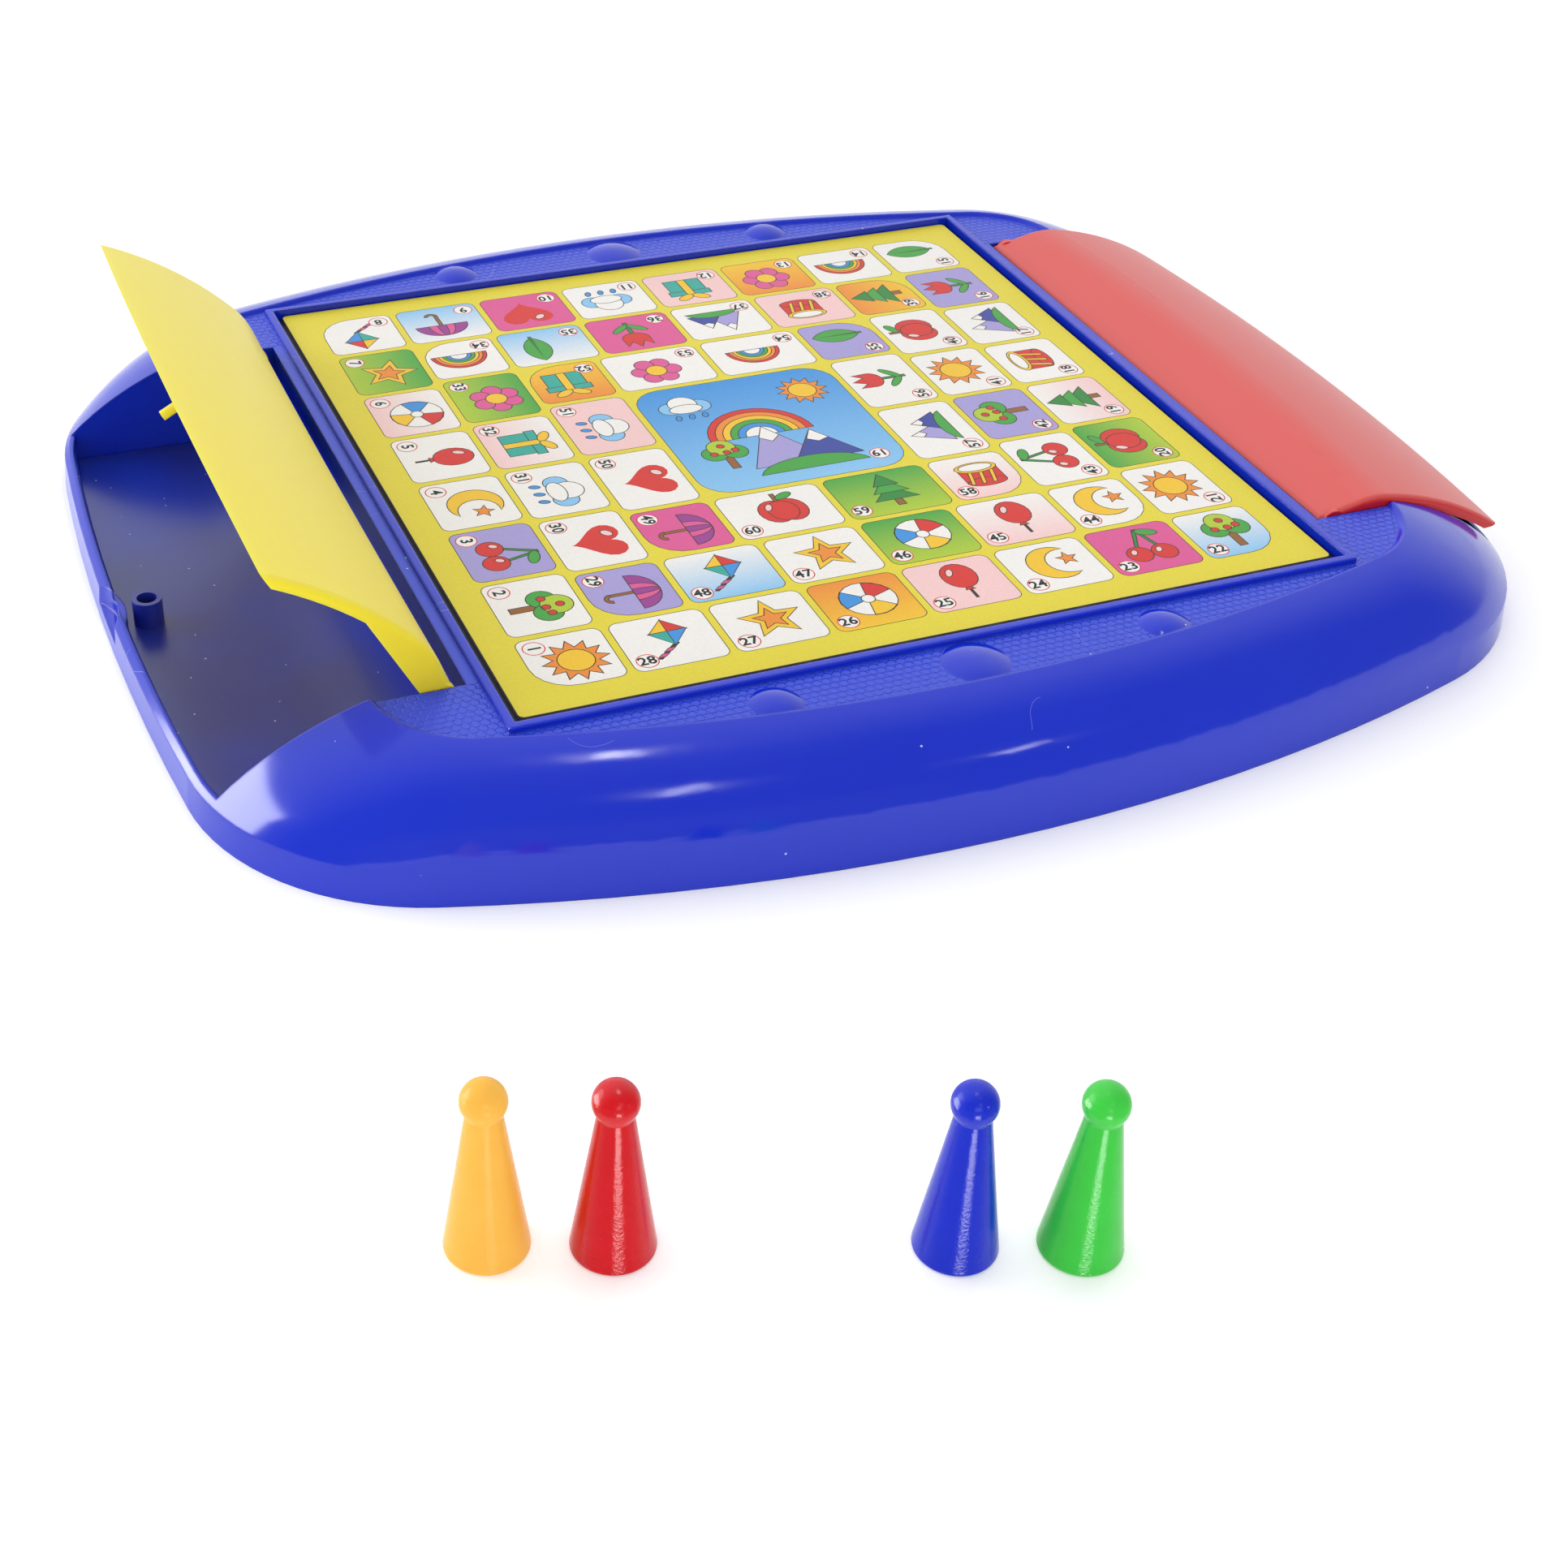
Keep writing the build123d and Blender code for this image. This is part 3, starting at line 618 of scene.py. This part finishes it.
# Small pictures in unit size: outlines and colours from the lowest layer up
MOTIFS = {
    "sun": [(star(0, 0, 1, 0.66, 12), "orange"), (oval(0, 0, 0.55), "gold")],
    "moon": [
        (arc(0, 0, 0.9, 0.9, 50, 310, 18) + arc(0.42, 0, 0.707, 0.707, 283, 77, 12)[1:-1], "gold"),
        (star(0.5, 0.12, 0.34, 0.14, 5), "orange"),
    ],
    "star": [(star(0, -0.05, 1, 0.45, 5), "gold"), (star(0, -0.05, 0.55, 0.25, 5), "orange")],
    "heart": [(heart(), "red"), (oval(-0.42, 0.42, 0.2, 0.13, 40), "pink")],
    "flower": [
        *((petal, "magenta") for petal in petals(6, 0.58, 0.34)),
        (oval(0, 0, 0.36), "gold"),
    ],
    "tulip": [
        (slab(-0.06, -1, 0.06, 0.1), "leaf"),
        (oval(-0.32, -0.55, 0.42, 0.13, -40), "green"),
        (oval(0.32, -0.55, 0.42, 0.13, 40), "green"),
        (
            [
                (-0.48, 0.85),
                *arc(0, 0.3, 0.5, 0.42, 180, 360, 10),
                (0.48, 0.85),
                (0.22, 0.5),
                (0, 0.95),
                (-0.22, 0.5),
            ],
            "red",
        ),
    ],
    "pine": [
        (slab(-0.12, -1, 0.12, -0.6), "brown"),
        ([(-0.75, -0.62), (0.75, -0.62), (0, 0.2)], "leaf"),
        ([(-0.6, -0.15), (0.6, -0.15), (0, 0.62)], "green"),
        ([(-0.42, 0.3), (0.42, 0.3), (0, 1)], "leaf"),
    ],
    "tree": [
        (slab(-0.13, -1, 0.13, -0.1), "brown"),
        (oval(-0.38, 0.1, 0.45), "green"),
        (oval(0.38, 0.1, 0.45), "green"),
        (oval(0, 0.48, 0.5), "lime"),
        *((oval(x, y, 0.12), "red") for x, y in ((-0.4, 0.1), (0.42, 0.2), (0.02, 0.58), (0.08, 0.12))),
    ],
    "balloon": [
        (slab(-0.025, -1, 0.025, -0.4), "ink"),
        ([(-0.13, -0.52), (0.13, -0.52), (0, -0.28)], "red"),
        (oval(0, 0.28, 0.56, 0.68), "red"),
        (oval(-0.22, 0.52, 0.1, 0.2, -25), "pink"),
    ],
    "kite": [
        ([(0.05, -0.3), (-0.75, -1), (-0.68, -1.02), (0.1, -0.36)], "ink"),
        ([(0, 0.95), (-0.58, 0.3), (0, 0.3)], "gold"),
        ([(0, 0.95), (0, 0.3), (0.58, 0.3)], "red"),
        ([(-0.58, 0.3), (0, -0.42), (0, 0.3)], "teal"),
        ([(0.58, 0.3), (0, 0.3), (0, -0.42)], "blue"),
        *((star(x, y, 0.2, 0.06, 2, 20), "magenta") for x, y in ((-0.27, -0.62), (-0.55, -0.86))),
    ],
    "cloud": [
        (oval(-0.55, -0.05, 0.4), "sky"),
        (oval(0.55, -0.05, 0.42), "sky"),
        (oval(0, 0.2, 0.52), "white"),
        (oval(0, -0.18, 0.6, 0.3), "white"),
        *((oval(x, -0.78, 0.09, 0.17, -15), "blue") for x in (-0.5, 0, 0.5)),
    ],
    "rainbow": [
        (half_ring(1), "red"),
        (half_ring(0.86), "orange"),
        (half_ring(0.72), "gold"),
        (half_ring(0.58), "green"),
        (half_ring(0.44), "blue"),
        (half_ring(0.3), "white"),
    ],
    "hills": [
        ([(-1, -0.6), (0.35, -0.6), (-0.35, 0.75)], "lavender"),
        ([(-0.53, 0.4), (-0.35, 0.23), (-0.17, 0.4), (-0.35, 0.75)], "white"),
        ([(-0.25, -0.6), (1, -0.6), (0.42, 0.4)], "navy"),
        ([(0.25, 0.11), (0.42, -0.02), (0.62, 0.06), (0.42, 0.4)], "white"),
        (arc(0, -0.95, 1.02, 0.5, 12, 168, 14), "green"),
    ],
    "apple": [
        (slab(-0.05, 0.5, 0.07, 0.95), "brown"),
        (oval(0.35, 0.75, 0.32, 0.15, 25), "green"),
        (oval(-0.26, -0.12, 0.56, 0.68), "red"),
        (oval(0.26, -0.12, 0.56, 0.68), "red"),
        (oval(0, -0.12, 0.5, 0.6), "red"),
        (oval(-0.4, 0.18, 0.1, 0.2, -25), "pink"),
    ],
    "cherries": [
        ([(-0.42, -0.2), (-0.34, -0.2), (0.18, 0.92), (0.08, 0.95)], "leaf"),
        ([(0.38, -0.2), (0.46, -0.2), (0.18, 0.95), (0.1, 0.92)], "leaf"),
        (oval(0.45, 0.72, 0.36, 0.17, -20), "green"),
        (oval(-0.42, -0.45, 0.42), "red"),
        (oval(0.45, -0.5, 0.42), "red"),
        (oval(-0.55, -0.3, 0.09, 0.14, -30), "pink"),
        (oval(0.32, -0.35, 0.09, 0.14, -30), "pink"),
    ],
    "ball": [
        (oval(0, 0, 0.9), "white"),
        (sector(0.88, 20, 80), "red"),
        (sector(0.88, 140, 200), "blue"),
        (sector(0.88, 260, 320), "gold"),
        (oval(0, 0, 0.2), "white"),
    ],
    "umbrella": [
        (slab(-0.05, -0.85, 0.05, 0.8), "brown"),
        (arc(0.17, -0.8, 0.22, 0.2, 180, 360, 8) + arc(0.17, -0.8, 0.12, 0.1, 360, 180, 8), "brown"),
        (arc(0, 0, 0.95, 0.82, 0, 180, 16), "purple"),
        (arc(0, 0, 0.45, 0.82, 0, 180, 14), "magenta"),
        (arc(0, 0, 0.15, 0.82, 0, 180, 12), "purple"),
    ],
    "gift": [
        (slab(-0.7, -0.85, 0.7, 0.25), "teal"),
        (slab(-0.8, 0.1, 0.8, 0.42), "teal"),
        (slab(-0.14, -0.85, 0.14, 0.42), "gold"),
        (oval(-0.3, 0.62, 0.34, 0.17, -30), "gold"),
        (oval(0.3, 0.62, 0.34, 0.17, 30), "gold"),
    ],
    "leaf": [
        (arc(-0.35, 0, 1.1, 1.1, -55, 55, 12) + arc(0.91, 0, 1.1, 1.1, 125, 235, 12), "green"),
        ([(0.25, -1), (0.33, -1), (0.3, 0.75)], "leaf"),
    ],
    "drum": [
        (slab(-0.7, -0.55, 0.7, 0.4), "red"),
        (oval(0, -0.55, 0.7, 0.25), "red"),
        *(
            ([(x, -0.62), (x + 0.1, -0.62), (x + 0.38, 0.4), (x + 0.28, 0.4)], "gold")
            for x in (-0.6, -0.2, 0.2)
        ),
        (oval(0, 0.4, 0.75, 0.3), "gold"),
        (oval(0, 0.42, 0.6, 0.21), "white"),
    ],
}

# Track in millimetres: three square rings of cells round a middle panel
TRACK_BORDER = 8.2
RING_DEPTH = 22
CELL_GAP = 1.8
CELL_RADIUS = 2.6
CORNER_RADIUS = 10
CELLS_PER_SIDE = (6, 4, 2)
CELL_LINE = 0.22
BADGE_INSET = 4.1
BADGE_RADIUS = 2.9
BADGE_LINE = 0.3
DIGIT_HEIGHT = 3.2
CAPITAL_SHARE = 0.7
BOLD_SHARE = 0.035
MOTIF_SHARE = 0.37
MOTIF_SHIFT = (0.04, 0.05)
MOTIF_STEP = 7
FILL_STEP = 5
PANEL_RADIUS = 9
CELL_FILLS = (
    ("white", "white"),
    ("sky", "white"),
    ("white", "white"),
    ("pink", "pink"),
    ("lime", "green"),
    ("white", "white"),
    ("magenta", "magenta"),
    ("white", "white"),
    ("gold", "orange"),
    ("white", "white"),
    ("lavender", "lavender"),
    ("white", "white"),
    ("pink", "white"),
)

# Middle panel: motif, place and size as shares of half its width
FINISH_SCENE = (
    ("rainbow", -0.1, 0.12, 0.5),
    ("sun", 0.6, 0.58, 0.24),
    ("cloud", -0.58, 0.62, 0.26),
    ("hills", 0.12, -0.36, 0.52),
    ("tree", -0.56, -0.34, 0.26),
)
FINISH_BADGE = (0.76, -0.76)


def glyphs(text, height, ink):
    """Layers of a short text, centred on the origin."""
    curve = bpy.data.curves.new("text", "FONT")
    curve.body = text
    curve.size = height / CAPITAL_SHARE
    curve.align_x = "CENTER"
    curve.align_y = "CENTER"
    curve.resolution_u = 2
    curve.offset = BOLD_SHARE * height
    holder = bpy.data.objects.new("text", curve)
    mesh = bpy.data.meshes.new_from_object(holder)
    corners = [tuple(vertex.co[:2]) for vertex in mesh.vertices]
    layers = [([corners[i] for i in polygon.vertices], flat(ink)) for polygon in mesh.polygons]
    bpy.data.objects.remove(holder)
    bpy.data.curves.remove(curve)
    bpy.data.meshes.remove(mesh)
    return layers


def picture(motif, place, half):
    """Layers of a motif, each with a thin ink line round it."""
    layers = []
    for outline, name in MOTIFS[motif]:
        points = moved(outline, place, 0, half)
        layers.append((grown(points, INK_LINE), flat("ink")))
        layers.append((points, flat(name)))
    return layers


def badge(number, place):
    """A white disc with a red line and a number."""
    layers = [(oval(*place, BADGE_RADIUS), flat("red"))]
    layers.append((oval(*place, BADGE_RADIUS - BADGE_LINE), flat("white")))
    for outline, paint in glyphs(str(number), DIGIT_HEIGHT, "black"):
        layers.append((moved(outline, place), paint))
    return layers


def panel(width, depth, radii, fill):
    """A filled cell with a thin ink line."""
    inner = [radius - CELL_LINE for radius in radii]
    return [
        (rounded(width, depth, radii), flat("ink")),
        (rounded(width - 2 * CELL_LINE, depth - 2 * CELL_LINE, inner), fade(*fill, depth / 2)),
    ]


def placed(layers, place, turn):
    """Layers drawn about the origin, turned and shifted; their paint keeps its own place."""
    result = []
    c, s = math.cos(math.radians(turn)), math.sin(math.radians(turn))
    for outline, paint in layers:

        def there(point, paint=paint):
            x, y = point[0] - place[0], point[1] - place[1]
            return paint((c * x + s * y, c * y - s * x))

        result.append((moved(outline, place, turn), there))
    return result


def track_cells(side):
    """Places of the cells, clockwise and inwards: middle, turn, width and corner radii."""
    cells = []
    half = side / 2 - TRACK_BORDER
    for count in CELLS_PER_SIDE:
        inner = half - RING_DEPTH
        width = (2 * inner - (count + 1) * CELL_GAP) / count
        row = half - RING_DEPTH / 2
        for quarter in range(4):
            turn = -90 - 90 * quarter
            corner_radii = (CELL_RADIUS, CORNER_RADIUS, CELL_RADIUS, CELL_RADIUS)
            cells.append((moved([(row, -row)], (0, 0), turn)[0], turn, RING_DEPTH, corner_radii))
            for i in range(count):
                x = inner - CELL_GAP - width / 2 - i * (width + CELL_GAP)
                cells.append((moved([(x, -row)], (0, 0), turn)[0], turn, width, (CELL_RADIUS,) * 4))
        half = inner - CELL_GAP
    return cells, half


def finish_panel(number, half):
    """The blue panel in the middle: sky, hills, sun, clouds and a rainbow."""
    layers = panel(2 * half, 2 * half, (PANEL_RADIUS,) * 4, ("sky", "blue"))
    for motif, x, y, size in FINISH_SCENE:
        layers += picture(motif, (x * half, y * half), size * half)
    return layers + badge(number, [share * half for share in FINISH_BADGE])


def track_layers(side, corner):
    """The whole printed track on its yellow ground."""
    layers = [(rounded(side, side, (corner,) * 4), flat("yellow"))]
    cells, middle = track_cells(side)
    names = list(MOTIFS)
    for index, (place, turn, width, radii) in enumerate(cells):
        fill = CELL_FILLS[index * FILL_STEP % len(CELL_FILLS)]
        motif = names[index * MOTIF_STEP % len(names)]
        shift = (MOTIF_SHIFT[0] * width, MOTIF_SHIFT[1] * RING_DEPTH)
        cell = panel(width, RING_DEPTH, radii, fill)
        cell += picture(motif, shift, MOTIF_SHARE * min(width, RING_DEPTH))
        cell += badge(index + 1, (BADGE_INSET - width / 2, BADGE_INSET - RING_DEPTH / 2))
        layers += placed(cell, place, turn)
    return layers + finish_panel(len(cells) + 1, middle)


# Draughts board under the track, in millimetres
BOARD_SQUARES = 8
BOARD_SQUARE = 25
BOARD_LINE = 0.8
LETTER_INSET = 3.3
LETTER_HEIGHT = 3.6
LETTERS = "ABCDEFGH"


def draughts_layers(side, corner):
    """Squares, a frame line and plain column letters on a dark ground."""
    layers = [(rounded(side, side, (corner,) * 4), flat("slate"))]
    field = BOARD_SQUARES * BOARD_SQUARE / 2
    outer = field + BOARD_LINE
    layers.append((slab(-outer, -outer, outer, outer), flat("cream")))
    for row in range(BOARD_SQUARES):
        for column in range(BOARD_SQUARES):
            if (row + column) % 2:
                x, y = column * BOARD_SQUARE - field, row * BOARD_SQUARE - field
                layers.append((slab(x, y, x + BOARD_SQUARE, y + BOARD_SQUARE), flat("slate")))
    edge = side / 2 - LETTER_INSET
    for index, letter in enumerate(LETTERS):
        along = field - (index + 0.5) * BOARD_SQUARE
        mark = glyphs(letter, LETTER_HEIGHT, "white")
        layers += placed(mark, (along, -edge), 180)
        layers += placed(mark, (along, edge), 0)
    return layers


def cut(layers):
    """Flat patches of a drawing: the points they share, and the corners and paint of each."""
    layers = [(ordered, paint) for outline, paint in layers if (ordered := anticlockwise(outline))]
    points, faces = [], []
    for outline, _ in layers:
        faces.append(list(range(len(points), len(points) + len(outline))))
        points += [Vector(p) for p in outline]
    spots, _, patches, _, _, owners = delaunay_2d_cdt(points, [], faces, INSIDE_ONLY, CUT_ROOM)
    painted = []
    for patch, near in zip(patches, owners):
        inside = sum((spots[i] for i in patch), Vector((0, 0))) / len(patch)
        covering = [i for i in near if holds(layers[i][0], inside)]
        if covering:
            painted.append((patch, layers[max(covering)][1]))
    return spots, painted


def printed_card(node, name, draw, material):
    """A card whose top is cut into flat patches of printed colour, in place of the plain card."""
    low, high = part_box(node)
    middle = (low + high) / 2
    side = (high.x - low.x) / MM
    spots, painted = cut(draw(side, CARD_CORNER))

    mesh = bmesh.new()
    ink = mesh.loops.layers.float_color.new("print")
    corners = [mesh.verts.new((middle.x + p.x * MM, middle.y + p.y * MM, high.z)) for p in spots]
    for patch, paint in painted:
        face = mesh.faces.new([corners[i] for i in patch])
        for loop, i in zip(face.loops, patch):
            loop[ink] = paint(spots[i])
    top = set(mesh.faces)
    rim = [edge for edge in mesh.edges if edge.is_boundary]
    walls = bmesh.ops.extrude_edge_only(mesh, edges=rim)["geom"]
    for vertex in walls:
        if isinstance(vertex, bmesh.types.BMVert):
            vertex.co.z = low.z
    lower = [edge for edge in walls if isinstance(edge, bmesh.types.BMEdge) and edge.is_boundary]
    bmesh.ops.edgeloop_fill(mesh, edges=lower)
    bmesh.ops.recalc_face_normals(mesh, faces=mesh.faces)
    for face in mesh.faces:
        if face not in top:
            for loop in face.loops:
                loop[ink] = colour(PRINT["stock"])
    data = bpy.data.meshes.new(name)
    mesh.to_mesh(data)
    mesh.free()
    data.materials.append(material)
    card = bpy.data.objects.new(name, data)
    SCENE.collection.objects.link(card)
    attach(card, node)
    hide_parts(node)


def camera():
    """The photograph's camera."""
    elevation, azimuth, roll = (math.radians(a) for a in (CAMERA_ELEVATION, CAMERA_AZIMUTH, CAMERA_ROLL))
    level = math.cos(elevation)
    forward = Vector((math.sin(azimuth) * level, math.cos(azimuth) * level, -math.sin(elevation)))
    right = forward.cross(Vector((0, 0, 1))).normalized()
    up = right.cross(forward)
    across = right * math.cos(roll) + up * math.sin(roll)
    above = up * math.cos(roll) - right * math.sin(roll)
    data = bpy.data.cameras.new("photo_camera")
    data.sensor_width = CAMERA_SENSOR
    data.lens = CAMERA_LENS
    data.shift_x, data.shift_y = CAMERA_SHIFT
    data.clip_start = CAMERA_NEAR
    holder = bpy.data.objects.new("photo_camera", data)
    turn = Matrix((across, above, -forward)).transposed().to_4x4()
    holder.matrix_world = Matrix.Translation(CAMERA_PLACE) @ turn
    SCENE.collection.objects.link(holder)
    SCENE.camera = holder


def softbox(name, place, target, size, power, shape="RECTANGLE", roll=0):
    """An area light that faces a point, turned about its own axis."""
    data = bpy.data.lights.new(name, "AREA")
    data.shape = shape
    data.size, data.size_y = size
    data.energy = power
    holder = bpy.data.objects.new(name, data)
    holder.location = place
    facing = (Vector(target) - Vector(place)).to_track_quat("-Z", "Y")
    holder.rotation_euler = (facing @ Quaternion((0, 0, 1), math.radians(roll))).to_euler()
    SCENE.collection.objects.link(holder)
    return holder


def light_pawns(lamp, state):
    """Keeps a lamp to the pawns, or off them."""
    group = bpy.data.collections.new(lamp.name)
    for pawn in PAWNS:
        group.objects.link(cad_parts[pawn])
    for member in group.collection_objects:
        member.light_linking.link_state = state
    lamp.light_linking.receiver_collection = group


def studio():
    """World, lamps and floor."""
    world = bpy.data.worlds.new("studio")
    SCENE.world = world
    world.use_nodes = True
    nodes, links = world.node_tree.nodes, world.node_tree.links
    direction = nodes.new("ShaderNodeSeparateXYZ")
    links.new(nodes.new("ShaderNodeTexCoord").outputs["Generated"], direction.inputs[0])
    level = nodes.new("ShaderNodeMapRange")
    level.interpolation_type = "SMOOTHSTEP"
    links.new(direction.outputs["Y"], level.inputs["Value"])
    ends = ("From Min", "From Max", "To Min", "To Max")
    for key, value in zip(ends, (*WORLD_TURN, WORLD_FRONT, WORLD_BACK)):
        level.inputs[key].default_value = value
    links.new(level.outputs["Result"], nodes["Background"].inputs["Strength"])
    nodes["Background"].inputs["Color"].default_value = (1, 1, 1, 1)

    lamps = {name: softbox(name, *values) for name, values in LAMPS.items()}
    lamps["left_window"].visible_diffuse = False
    for name in ("left_fill", "top_fill", "low_fill"):
        lamps[name].visible_glossy = False
    light_pawns(lamps["low_fill"], "EXCLUDE")
    light_pawns(lamps["pawn_softbox"], "INCLUDE")

    ground = bpy.data.meshes.new("floor")
    half = FLOOR_SIDE / 2
    corners = [(x, y, 0) for x, y in slab(-half, -half, half, half)]
    ground.from_pydata(corners, [], [(0, 1, 2, 3)])
    floor = bpy.data.objects.new("floor", ground)
    g = Graph("floor_paper")
    tone = g.mix(g.noise(FLOOR_CLOUD), colour(FLOOR_COLOUR), colour(FLOOR_PALE))
    ray = g.tree.nodes.new("ShaderNodeLightPath").outputs
    mirrored = g.math("MAXIMUM", ray["Is Glossy Ray"], ray["Is Transmission Ray"])
    seen = g.math("MAXIMUM", ray["Is Camera Ray"], mirrored)
    glow = g.math("MULTIPLY", seen, FLOOR_GLOW)
    paper = g.finish(Base_Color=tone, Roughness=FLOOR_ROUGHNESS, Specular_IOR_Level=0, Emission_Strength=glow)
    ground.materials.append(paper)
    SCENE.collection.objects.link(floor)


SCENE.view_settings.view_transform = "Standard"
camera()
studio()
dress("top_case", case_plastic())
dress("bottom_case", bottom_plastic())
dress("case_screws", screw_steel())
for lid, look in LIDS.items():
    dress(lid, lid_plastic(lid + "_plastic", *look))
for pawn, look in PAWNS.items():
    dress(pawn, pawn_plastic(pawn + "_plastic", *look))
for die, turn in DIE_TURNS.items():
    dress(die, die_plastic(die, turn))
paper = card_print()
printed_card("game_card", "printed_game_card", track_layers, paper)
printed_card("draughts_card", "printed_draughts_card", draughts_layers, paper)
